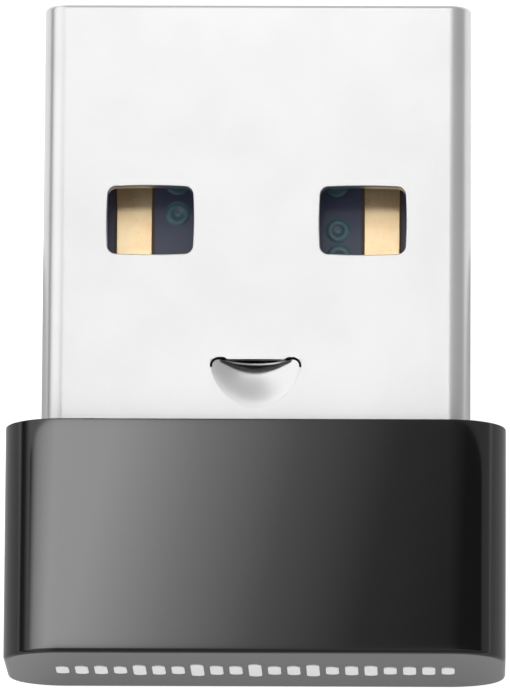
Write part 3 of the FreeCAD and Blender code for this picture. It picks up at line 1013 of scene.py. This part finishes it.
def plated(finish: MetalFinish) -> bpy.types.Material:
    """A plated or rolled metal with a grain that runs along the plug.

    Args:
        finish: the surface's values.

    Returns:
        The material.
    """
    material, tree = blank_material(finish.name)
    nodes, links = tree.nodes, tree.links

    place_frame = nodes.new("NodeFrame")
    place_frame.label = "Place on the piece"
    grain_frame = nodes.new("NodeFrame")
    grain_frame.label = "Rolling grain"
    tone_frame = nodes.new("NodeFrame")
    tone_frame.label = "Tarnish"

    place = nodes.new("ShaderNodeTexCoord")
    place.label = "Fixed to the piece"
    place.location = (-1300, 0)
    place.parent = place_frame

    run = nodes.new("ShaderNodeMapping")
    run.label = "Grain drawn out along the plug"
    run.location = (-1100, -200)
    run.parent = place_frame
    run.inputs["Scale"].default_value = (1.0, 1.0 / finish.stretch, 1.0)

    grain = nodes.new("ShaderNodeTexNoise")
    grain.label = "Fine rolling lines"
    grain.location = (-850, -220)
    grain.parent = grain_frame
    grain.inputs["Scale"].default_value = 1 / (finish.grain_mm * MM)
    grain.inputs["Detail"].default_value = 4.0
    grain.inputs["Roughness"].default_value = 0.65

    relief = nodes.new("ShaderNodeBump")
    relief.label = "Height of the rolling lines"
    relief.location = (-350, -260)
    relief.parent = grain_frame
    relief.inputs["Strength"].default_value = finish.relief
    relief.inputs["Distance"].default_value = 0.01 * MM

    sheen = nodes.new("ShaderNodeMapRange")
    sheen.label = "Satin that comes and goes with the grain"
    sheen.location = (-600, -20)
    sheen.parent = grain_frame
    sheen.inputs["From Min"].default_value = 0.25
    sheen.inputs["From Max"].default_value = 0.75
    sheen.inputs["To Min"].default_value = finish.roughness * (1 - finish.play)
    sheen.inputs["To Max"].default_value = finish.roughness * (1 + finish.play)

    patches = nodes.new("ShaderNodeTexNoise")
    patches.label = "Patches where the plating has dulled"
    patches.location = (-850, 160)
    patches.parent = tone_frame
    patches.inputs["Scale"].default_value = 1 / (finish.patch_mm * MM)
    patches.inputs["Detail"].default_value = 3.0

    spread = nodes.new("ShaderNodeMapRange")
    spread.label = "Edges of the patches"
    spread.location = (-600, 180)
    spread.parent = tone_frame
    spread.interpolation_type = "SMOOTHSTEP"
    spread.inputs["From Min"].default_value = 0.35
    spread.inputs["From Max"].default_value = 0.68

    dust = nodes.new("ShaderNodeTexNoise")
    dust.label = "Small pits"
    dust.location = (-850, 420)
    dust.parent = tone_frame
    dust.inputs["Scale"].default_value = 1 / (0.07 * MM)
    dust.inputs["Detail"].default_value = 1.0

    pits = nodes.new("ShaderNodeMapRange")
    pits.label = "Only the deepest pits show"
    pits.location = (-600, 440)
    pits.parent = tone_frame
    pits.inputs["From Min"].default_value = 0.7
    pits.inputs["From Max"].default_value = 0.78
    pits.inputs["To Max"].default_value = finish.specks

    tint = nodes.new("ShaderNodeMix")
    tint.label = "Clean metal to dulled metal"
    tint.data_type = "RGBA"
    tint.location = (-350, 200)
    tint.parent = tone_frame
    tint.inputs["A"].default_value = (*finish.colour, 1.0)
    tint.inputs["B"].default_value = (*finish.tarnish, 1.0)

    pitted = nodes.new("ShaderNodeMix")
    pitted.label = "Darkened in the pits"
    pitted.data_type = "RGBA"
    pitted.location = (-200, 300)
    pitted.parent = tone_frame
    pitted.inputs["B"].default_value = (*(0.35 * channel for channel in finish.tarnish), 1.0)

    surface = nodes.new("ShaderNodeBsdfPrincipled")
    surface.label = "Plated metal"
    surface.location = (-50, 60)
    surface.inputs["Metallic"].default_value = finish.metallic

    output = nodes.new("ShaderNodeOutputMaterial")
    output.label = "Finished surface"
    output.location = (300, 60)

    links.new(place.outputs["Object"], run.inputs["Vector"])
    links.new(run.outputs["Vector"], grain.inputs["Vector"])
    links.new(place.outputs["Object"], patches.inputs["Vector"])
    links.new(grain.outputs["Fac"], relief.inputs["Height"])
    links.new(grain.outputs["Fac"], sheen.inputs["Value"])
    links.new(patches.outputs["Fac"], spread.inputs["Value"])
    links.new(spread.outputs["Result"], tint.inputs["Factor"])
    links.new(place.outputs["Object"], dust.inputs["Vector"])
    links.new(dust.outputs["Fac"], pits.inputs["Value"])
    links.new(pits.outputs["Result"], pitted.inputs["Factor"])
    links.new(tint.outputs["Result"], pitted.inputs["A"])
    links.new(pitted.outputs["Result"], surface.inputs["Base Color"])
    links.new(sheen.outputs["Result"], surface.inputs["Roughness"])
    links.new(relief.outputs["Normal"], surface.inputs["Normal"])
    links.new(surface.outputs["BSDF"], output.inputs["Surface"])
    return material


def make_finishes() -> dict[str, bpy.types.Material]:
    """Makes the adapter's materials.

    Returns:
        The material of each slot.
    """
    finishes = {slot: moulded(finish) for slot, finish in PLASTICS.items()}
    finishes |= {slot: plated(finish) for slot, finish in METALS.items()}
    return finishes


def dress_frame(finishes: dict[str, bpy.types.Material]) -> None:
    """Gives each CAD node the finish of its slot.

    Args:
        finishes: the material of each slot.
    """
    slots = {row["node"]: row["material_slot"] for row in frame["record"]["subparts"]}
    for name, node in frame["nodes"].items():
        node.data.materials.clear()
        node.data.materials.append(finishes[slots[name]])


# ---- studio -------------------------------------------------------------------------------------------


def lit_sheet(name: str, grey: float, glow: float, clear_beneath: bool = False) -> bpy.types.Material:
    """Matt paper lit from below, on which the adapter leaves only a faint shadow.

    Args:
        name: the material's name.
        grey: how much of the light it throws back.
        glow: the strength of the light from below.
        clear_beneath: whether the adapter's underside can be seen through it.

    Returns:
        The material.
    """
    material, tree = blank_material(name)
    nodes, links = tree.nodes, tree.links
    surface = nodes.new("ShaderNodeBsdfPrincipled")
    surface.label = "Lit paper"
    surface.location = (-300, 0)
    surface.inputs["Base Color"].default_value = (grey, grey, grey, 1.0)
    surface.inputs["Roughness"].default_value = 0.9
    surface.inputs["Specular IOR Level"].default_value = 0.0
    surface.inputs["Emission Color"].default_value = (1.0, 1.0, 1.0, 1.0)
    surface.inputs["Emission Strength"].default_value = glow
    output = nodes.new("ShaderNodeOutputMaterial")
    output.label = "Finished surface"
    output.location = (300, 0)
    links.new(surface.outputs["BSDF"], output.inputs["Surface"])
    if clear_beneath:
        side = nodes.new("ShaderNodeNewGeometry")
        side.label = "Which side of the sheet"
        side.location = (-100, 300)
        beneath = nodes.new("ShaderNodeBsdfTransparent")
        beneath.label = "Clear from beneath"
        beneath.location = (-100, -400)
        either = nodes.new("ShaderNodeMixShader")
        either.label = "Paper above, clear beneath"
        either.location = (100, 0)
        links.new(side.outputs["Backfacing"], either.inputs["Fac"])
        links.new(surface.outputs["BSDF"], either.inputs[1])
        links.new(beneath.outputs["BSDF"], either.inputs[2])
        links.new(either.outputs["Shader"], output.inputs["Surface"])
    return material


def graded_card(
    left: float, run_length: float, slope: float, stops: dict[float, float]
) -> bpy.types.Material:
    """A glowing card that falls off from left to right, on a slight slant.

    Args:
        left: where the run of brightness begins, in millimetres.
        run_length: how long the run is, in millimetres.
        slope: how far the run is turned, in degrees.
        stops: the brightness at each place along the run.

    Returns:
        The material.
    """
    material, tree = blank_material("graded_card")
    nodes, links = tree.nodes, tree.links

    place = nodes.new("ShaderNodeTexCoord")
    place.label = "Fixed to the card"
    place.location = (-900, 0)
    slant = nodes.new("ShaderNodeMapping")
    slant.label = "Turned and brought to a run of 0 to 1"
    slant.location = (-700, 0)
    slant.inputs["Rotation"].default_value = (0, 0, math.radians(slope))
    slant.inputs["Scale"].default_value = (1 / (run_length * MM), 1 / (run_length * MM), 1.0)
    slant.inputs["Location"].default_value = (-left / run_length, 0, 0)
    run = nodes.new("ShaderNodeSeparateXYZ")
    run.label = "Left to right"
    run.location = (-520, 0)
    fall = nodes.new("ShaderNodeValToRGB")
    fall.label = "Bright band that falls off to the right"
    fall.location = (-340, 0)
    while len(fall.color_ramp.elements) < len(stops):
        fall.color_ramp.elements.new(0.5)
    for element, (x, value) in zip(fall.color_ramp.elements, stops.items()):
        element.position = (x - left) / run_length
        element.color = (value, value, value, 1.0)
    glow = nodes.new("ShaderNodeEmission")
    glow.label = "Glow of the card"
    glow.location = (-40, 0)
    glow.inputs["Strength"].default_value = 7.0
    output = nodes.new("ShaderNodeOutputMaterial")
    output.label = "Finished surface"
    output.location = (160, 0)

    links.new(place.outputs["Object"], slant.inputs["Vector"])
    links.new(slant.outputs["Vector"], run.inputs["Vector"])
    links.new(run.outputs["X"], fall.inputs["Fac"])
    links.new(fall.outputs["Color"], glow.inputs["Color"])
    links.new(glow.outputs["Emission"], output.inputs["Surface"])
    return material


@dataclass(frozen=True)
class SoftLight:
    """One rectangular lamp: where it hangs, what it faces, its size and its strength."""

    name: str
    place: tuple[float, float, float]
    aim: tuple[float, float, float]
    size: tuple[float, float]
    watts: float
    mirrored: bool = True


# The lamps that spare the cap, the lamp that spares the table, and the card's brightness along its run.
LAMPS = (
    SoftLight("key", (-4, 33, 300), (0, 3, 0), (25, 25), 0.031),
    SoftLight("tip_glow", (0, 34, 60), (0, 10, 0), (50, 20), 0.0032),
    SoftLight("overhead_fill", (0, 20, 300), (0, 3, 0), (280, 280), 0.37, mirrored=False),
)
NEAR_FILL = SoftLight("near_fill", (0, -200, 60), (0, -6, 0), (80, 80), 0.1, mirrored=False)
CARD_STOPS = {-13.0: 0.0, -9.6: 0.6, -6.0: 1.0, -4.0: 0.95, -1.4: 0.53, 1.2: 0.22, 3.9: 0.065, 8.0: 0.008}


@dataclass
class Studio:
    """A plain white table, a soft sky and a few soft lamps."""

    azimuth: float = 6.218
    elevation: float = 78.947
    roll: float = -5.955
    distance: float = 274.4
    target: tuple[float, float, float] = (-0.069, 2.689, 0.0)
    lens: float = 508.6
    sensor: float = 36.0
    floor_size: tuple[float, float] = (3000.0, 3000.0)
    floor_drop: float = 0.02
    # Size, place and drop of the darker mat under the cap: painted shade that the cap's sides mirror in place
    # of a contact shadow.
    shade_mat_size: tuple[float, float] = (140.0, 34.0)
    shade_mat_place: tuple[float, float] = (0.0, -11.0)
    shade_mat_drop: float = 0.01
    card_size: tuple[float, float] = (30.0, 6.6)
    card_place: tuple[float, float, float] = (1.0, -2.7, 6.1)
    card_left: float = -14.0
    card_run: float = 24.0
    card_slope: float = 12.0

    def camera(self) -> None:
        """Sets up the camera."""
        data = bpy.data.cameras.new("camera")
        data.lens = self.lens
        data.sensor_width = self.sensor
        data.clip_start = 0.01
        data.clip_end = 10.0
        camera = bpy.data.objects.new("camera", data)
        bpy.context.scene.collection.objects.link(camera)
        turn, lift = math.radians(self.azimuth), math.radians(self.elevation)
        back = Vector((math.sin(turn) * math.cos(lift), -math.cos(turn) * math.cos(lift), math.sin(lift)))
        camera.location = (Vector(self.target) + back * self.distance) * MM
        camera.rotation_mode = "QUATERNION"
        lean = Quaternion((0, 0, 1), math.radians(self.roll))
        camera.rotation_quaternion = (-back).to_track_quat("-Z", "Y") @ lean
        bpy.context.scene.camera = camera

    def sheet(
        self, name: str, size: tuple[float, float], place: tuple[float, float, float]
    ) -> bpy.types.Object:
        """Makes one flat sheet of the studio.

        Args:
            name: the sheet's name.
            size: its width and length, in millimetres.
            place: its middle, in millimetres.

        Returns:
            The sheet, which has no material yet.
        """
        mesh = bmesh.new()
        bmesh.ops.create_grid(mesh, x_segments=1, y_segments=1, size=0.5 * MM)
        bmesh.ops.scale(mesh, vec=(size[0], size[1], 1), verts=mesh.verts)
        bmesh.ops.translate(mesh, vec=Vector(place) * MM, verts=mesh.verts)
        sheet = new_object(name, mesh)
        return sheet

    def table(self) -> bpy.types.Object:
        """Lays the lit paper that is seen and, under it, the pale table and a darker grey mat, a painted shade
        that the adapter mirrors in place of the contact shadow round the cap.

        Returns:
            The table.
        """
        rest = CAD_BOX[0].z / MM
        paper = self.sheet("lit_paper", self.floor_size, (0, 0, rest))
        paper.data.materials.append(lit_sheet("paper_white", 0.62, 0.72, clear_beneath=True))
        paper.visible_diffuse = False
        paper.visible_glossy = False
        paper.visible_transmission = False
        paper.visible_shadow = False
        table = self.sheet("table_top", self.floor_size, (0, 0, rest - self.floor_drop))
        table.data.materials.append(lit_sheet("table_pale", 0.6, 0.5))
        table.visible_camera = False
        # Painted shade: a dimmer, darker sheet round the cap that only reflections see, standing in for the
        # contact shadow there.
        shade_mat = self.sheet("painted_shade_mat", self.shade_mat_size, (*self.shade_mat_place, rest - self.shade_mat_drop))
        shade_mat.data.materials.append(lit_sheet("painted_shade_grey", 0.42, 0.14))
        shade_mat.visible_camera = False
        return table

    def gradient_card(self, cap: bpy.types.Object) -> None:
        """Hangs the card that only the glossy cap mirrors, bright on the left and dark on the right.

        Args:
            cap: the cap.
        """
        card = self.sheet("gradient_card", self.card_size, self.card_place)
        glow = graded_card(self.card_left, self.card_run, self.card_slope, CARD_STOPS)
        card.data.materials.append(glow)
        card.visible_camera = False
        card.visible_diffuse = False
        card.visible_transmission = False
        card.visible_shadow = False
        lit = bpy.data.collections.new("mirrors_the_card")
        lit.objects.link(cap)
        card.light_linking.receiver_collection = lit

    def sky(self) -> None:
        """Sets the surroundings: a softbox on the left, dimmer to the right and in front, dark low left."""
        world = bpy.data.worlds.new("studio")
        bpy.context.scene.world = world
        world.use_nodes = True
        tree = world.node_tree
        tree.nodes.clear()
        nodes, links = tree.nodes, tree.links

        place = nodes.new("ShaderNodeTexCoord")
        place.label = "Direction"
        place.location = (-1100, 0)
        split = nodes.new("ShaderNodeSeparateXYZ")
        split.label = "Across, along and up"
        split.location = (-920, 0)

        across = nodes.new("ShaderNodeMapRange")
        across.label = "Dimmer towards the right"
        across.location = (-700, 250)
        across.inputs["From Min"].default_value = -0.1
        across.inputs["From Max"].default_value = 0.95
        across.inputs["To Min"].default_value = 0.86
        across.inputs["To Max"].default_value = 0.66

        softbox = nodes.new("ShaderNodeMapRange")
        softbox.label = "Softbox on the left"
        softbox.location = (-700, 500)
        softbox.interpolation_type = "SMOOTHSTEP"
        softbox.inputs["From Min"].default_value = -0.12
        softbox.inputs["From Max"].default_value = -0.5
        softbox.inputs["To Max"].default_value = 1.1

        sides = nodes.new("ShaderNodeMath")
        sides.label = "Left and right together"
        sides.location = (-500, 380)

        front = nodes.new("ShaderNodeMapRange")
        front.label = "Dim on the near side"
        front.location = (-700, 0)
        front.interpolation_type = "SMOOTHSTEP"
        front.inputs["From Min"].default_value = -0.6
        front.inputs["From Max"].default_value = 0.0
        front.inputs["To Min"].default_value = 0.5
        front.inputs["To Max"].default_value = 1.0

        low = nodes.new("ShaderNodeMapRange")
        low.label = "Dark under the left softbox"
        low.location = (-700, -250)
        low.interpolation_type = "SMOOTHSTEP"
        low.inputs["From Min"].default_value = 0.14
        low.inputs["From Max"].default_value = 0.42
        low.inputs["To Min"].default_value = 0.03
        low.inputs["To Max"].default_value = 1.0

        side = nodes.new("ShaderNodeMapRange")
        side.label = "How far to the left"
        side.location = (-700, -500)
        side.inputs["From Min"].default_value = -0.5
        side.inputs["From Max"].default_value = -0.8

        gap = nodes.new("ShaderNodeMix")
        gap.label = "Dark gap only on the left"
        gap.location = (-500, -350)
        gap.inputs["A"].default_value = 1.0

        near = nodes.new("ShaderNodeMath")
        near.label = "With the dim near side"
        near.operation = "MULTIPLY"
        near.location = (-500, 120)
        whole = nodes.new("ShaderNodeMath")
        whole.label = "With the dark gap"
        whole.operation = "MULTIPLY"
        whole.location = (-330, 0)

        background = nodes.new("ShaderNodeBackground")
        background.label = "Soft sky"
        background.location = (-170, 0)
        output = nodes.new("ShaderNodeOutputWorld")
        output.label = "World"
        output.location = (0, 0)

        links.new(place.outputs["Generated"], split.inputs["Vector"])
        links.new(split.outputs["X"], across.inputs["Value"])
        links.new(split.outputs["Y"], front.inputs["Value"])
        links.new(split.outputs["Z"], low.inputs["Value"])
        links.new(split.outputs["X"], side.inputs["Value"])
        links.new(side.outputs["Result"], gap.inputs["Factor"])
        links.new(low.outputs["Result"], gap.inputs["B"])
        links.new(split.outputs["X"], softbox.inputs["Value"])
        links.new(across.outputs["Result"], sides.inputs[0])
        links.new(softbox.outputs["Result"], sides.inputs[1])
        links.new(sides.outputs["Value"], near.inputs[0])
        links.new(front.outputs["Result"], near.inputs[1])
        links.new(near.outputs["Value"], whole.inputs[0])
        links.new(gap.outputs["Result"], whole.inputs[1])
        links.new(whole.outputs["Value"], background.inputs["Strength"])
        links.new(background.outputs["Background"], output.inputs["Surface"])

    def lamp(self, light: SoftLight, spared: bpy.types.Object) -> None:
        """Hangs one soft lamp.

        Args:
            light: the lamp's values.
            spared: the one object that it doesn't light.
        """
        data = bpy.data.lights.new(light.name, "AREA")
        data.shape = "RECTANGLE"
        data.size, data.size_y = light.size[0] * MM, light.size[1] * MM
        data.energy = light.watts
        lamp = bpy.data.objects.new(light.name, data)
        lamp.location = Vector(light.place) * MM
        lamp.rotation_mode = "QUATERNION"
        lamp.rotation_quaternion = (Vector(light.aim) - Vector(light.place)).to_track_quat("-Z", "Y")
        lamp.visible_camera = False
        lamp.visible_glossy = light.mirrored
        bpy.context.scene.collection.objects.link(lamp)
        flagged = bpy.data.collections.new(light.name + "_spares")
        flagged.objects.link(spared)
        flagged.collection_objects[0].light_linking.link_state = "EXCLUDE"
        lamp.light_linking.receiver_collection = flagged

    def build(self, cap: bpy.types.Object) -> None:
        """Sets up the whole studio.

        Args:
            cap: the glossy cap, which gets a card of its own.
        """
        self.camera()
        table = self.table()
        self.gradient_card(cap)
        self.sky()
        for light in LAMPS:
            self.lamp(light, cap)
        self.lamp(NEAR_FILL, table)
        view = bpy.context.scene.view_settings
        view.view_transform = "Standard"


# ---- the whole ----------------------------------------------------------------------------------------


def main() -> None:
    """Builds the adapter's pieces in order, then the studio."""
    logging.basicConfig(level=logging.INFO, format="%(name)s %(message)s")
    finishes = make_finishes()
    dress_frame(finishes)
    PlugShell().build(finishes["plated_steel"])
    cap = HousingCap().build(finishes["cap_gloss_black"])
    BoardCarrier().build(finishes["insert_black"])
    TentedVias().build(finishes["via_copper"])
    ContactPads().build(finishes["gold_plate"])
    Studio().build(cap)


if __name__ == "__main__":
    main()
